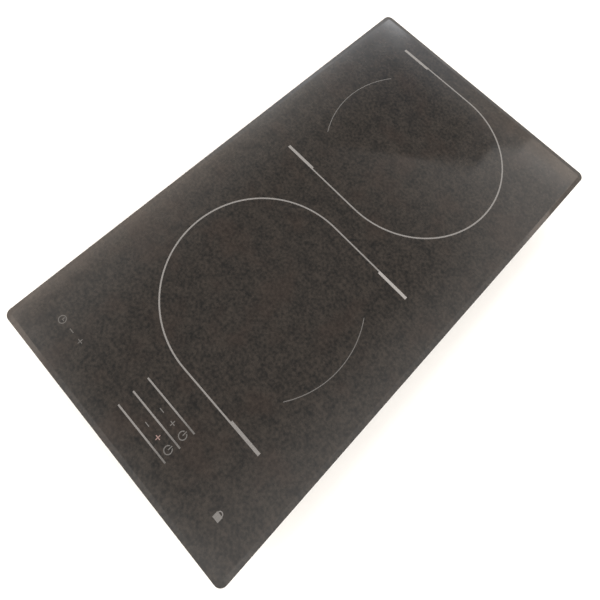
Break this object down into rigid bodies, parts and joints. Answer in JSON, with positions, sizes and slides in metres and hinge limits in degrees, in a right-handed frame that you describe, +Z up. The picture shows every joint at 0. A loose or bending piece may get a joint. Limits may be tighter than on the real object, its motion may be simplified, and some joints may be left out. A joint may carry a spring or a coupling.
{
  "type": "induction cooktop",
  "caption": "Narrow built-in induction cooktop: dark glass plate with cooking zones one behind the other and touch controls, over a sheet-metal casing with coils, boards and fan.",
  "frame": {"origin": "under the middle of the cooktop, on the surface that its pressed feet stand on", "axes": "+X right, +Y to the back (the controls are along the front edge), +Z up"},
  "size_m": [0.288, 0.52, 0.0601],
  "materials": {
    "glass": "dark glass-ceramic, polished",
    "enamel": "light grey enamel fired on the glass",
    "seal_foam": "closed-cell foam",
    "silicone": "silicone",
    "black_sheet": "black powder coat",
    "steel": "zinc plated",
    "spring_steel": "spring steel",
    "zinc_sheet": "galvanised sheet",
    "aluminium": "mill finish",
    "circuit_board": "solder resist",
    "nylon": "natural nylon",
    "black_epoxy": "moulded epoxy",
    "film_case": "potted case",
    "can_sleeve": "sleeved can",
    "ferrite": "sintered ferrite",
    "copper": "enamelled copper",
    "relay_case": "moulded case",
    "brass": "plated brass",
    "bronze": "sintered bronze",
    "fan_plastic": "glass-filled plastic",
    "stator_iron": "laminated core",
    "tray_plastic": "moulded tray",
    "display_face": "filtered display face",
    "lamp_lens": "lamp",
    "ribbon": "flat cable",
    "box_plastic": "moulded, fine grain",
    "block_plastic": "polyamide block",
    "wire_sheath": "insulated wire",
    "carrier_plastic": "glass-filled plastic",
    "mica": "mica sheet",
    "sensor_plastic": "sensor holder",
    "rubber": "moulded rubber"
  },
  "bodies": {
    "cooktop": {"board_supports": "nylon", "bottom_casing": "zinc_sheet", "bus_capacitors": "film_case", "cable_grommet": "rubber", "choke_core": "ferrite", "choke_winding": "copper", "clip_screws": "steel", "coil_shield": "aluminium", "coil_terminals": "brass", "control_board": "circuit_board", "control_print": "enamel", "control_ribbon": "ribbon", "control_tray": "tray_plastic", "display_modules": "display_face", "electrolytic_capacitors": "can_sleeve", "fan_bearing": "bronze", "fan_cover": "fan_plastic", "fan_housing": "fan_plastic", "fan_screws": "steel", "fan_stator": "stator_iron", "frame_screws": "steel", "front_coil_leads": "wire_sheath", "front_coil_springs": "spring_steel", "glass_bond": "silicone", "glass_top": "glass", "heatsink": "aluminium", "mains_relay": "relay_case", "mains_wires": "wire_sheath", "power_board": "circuit_board", "power_transistors": "black_epoxy", "rear_coil_leads": "wire_sheath", "rear_coil_springs": "spring_steel", "rectifier_bridge": "black_epoxy", "resonant_capacitors": "film_case", "shield_posts": "steel", "shield_screws": "steel", "spring_clips": "spring_steel", "status_lights": "lamp_lens", "supply_transformer": "ferrite", "support_frame": "black_sheet", "terminal_block": "block_plastic", "terminal_box": "box_plastic", "terminal_screws": "steel", "touch_springs": "spring_steel", "worktop_seal": "seal_foam", "zone_print": "enamel"},
    "fan": {"fan_rotor": "fan_plastic", "fan_shaft": "steel"},
    "front_coil": {"front_coil_carrier": "carrier_plastic", "front_coil_winding": "copper", "front_coil_ferrites": "ferrite", "front_coil_insulation": "mica", "front_temp_sensor": "sensor_plastic"},
    "rear_coil": {"rear_coil_carrier": "carrier_plastic", "rear_coil_winding": "copper", "rear_coil_ferrites": "ferrite", "rear_coil_insulation": "mica", "rear_temp_sensor": "sensor_plastic"},
    "lid": {"terminal_lid": "box_plastic"}
  },
  "joints": [
    {"name": "fan_spin", "type": "hinge", "parent": "cooktop", "child": "fan", "pos_m": [0.0672, 0.1787, 0.0195], "axis": [0, 0, 1], "continuous": true},
    {"name": "front_coil_float", "type": "slide", "parent": "cooktop", "child": "front_coil", "axis": [0, 0, 1], "range_m": [-0.003, 0], "stiffness_N_per_m": 4000, "springref_m": 0.005, "deforming": ["front_coil_springs", "front_coil_leads"]},
    {"name": "rear_coil_float", "type": "slide", "parent": "cooktop", "child": "rear_coil", "axis": [0, 0, 1], "range_m": [-0.003, 0], "stiffness_N_per_m": 4000, "springref_m": 0.005, "deforming": ["rear_coil_springs", "rear_coil_leads"]},
    {"name": "lid_hinge", "type": "hinge", "parent": "cooktop", "child": "lid", "pos_m": [-0.0877, 0.194, 0.0052], "axis": [1, 0, 0], "range_deg": [-100, 0]}
  ]
}
